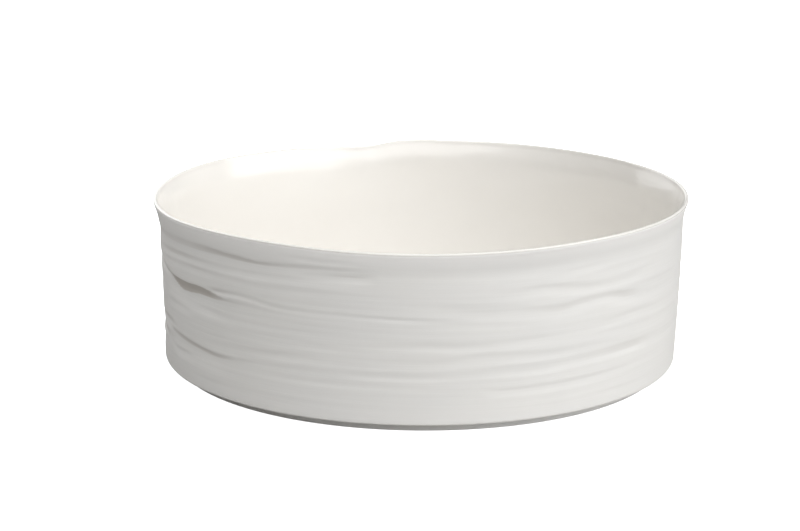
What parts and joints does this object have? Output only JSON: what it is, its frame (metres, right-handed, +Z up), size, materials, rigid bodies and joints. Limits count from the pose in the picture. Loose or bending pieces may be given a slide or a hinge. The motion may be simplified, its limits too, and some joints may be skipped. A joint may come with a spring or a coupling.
{
  "type": "serving bowl",
  "caption": "Low, straight-sided round serving bowl with a carved outside, a glazed inside, a wavy flared lip and a recessed foot ring.",
  "frame": {"origin": "on the standing plane, at the centre of the foot ring", "axes": "+Z up through the mouth of the bowl; +X to the right and +Y to the back of the bowl, with the strongest carving at the front left"},
  "size_m": [0.303, 0.3019, 0.0989],
  "materials": {
    "bare_porcelain": "smoothed, unglazed, fine satin",
    "clear_glaze": "glossy warm white",
    "fired_slip": "matt"
  },
  "bodies": {
    "root": {"side_wall": "bare_porcelain", "floor_disc": "bare_porcelain", "foot_ring": "bare_porcelain", "corner_coil": "bare_porcelain", "wall_slip_joint": "fired_slip", "foot_slip_joint": "fired_slip", "inside_glaze": "clear_glaze", "underside_glaze": "clear_glaze"}
  },
  "joints": []
}
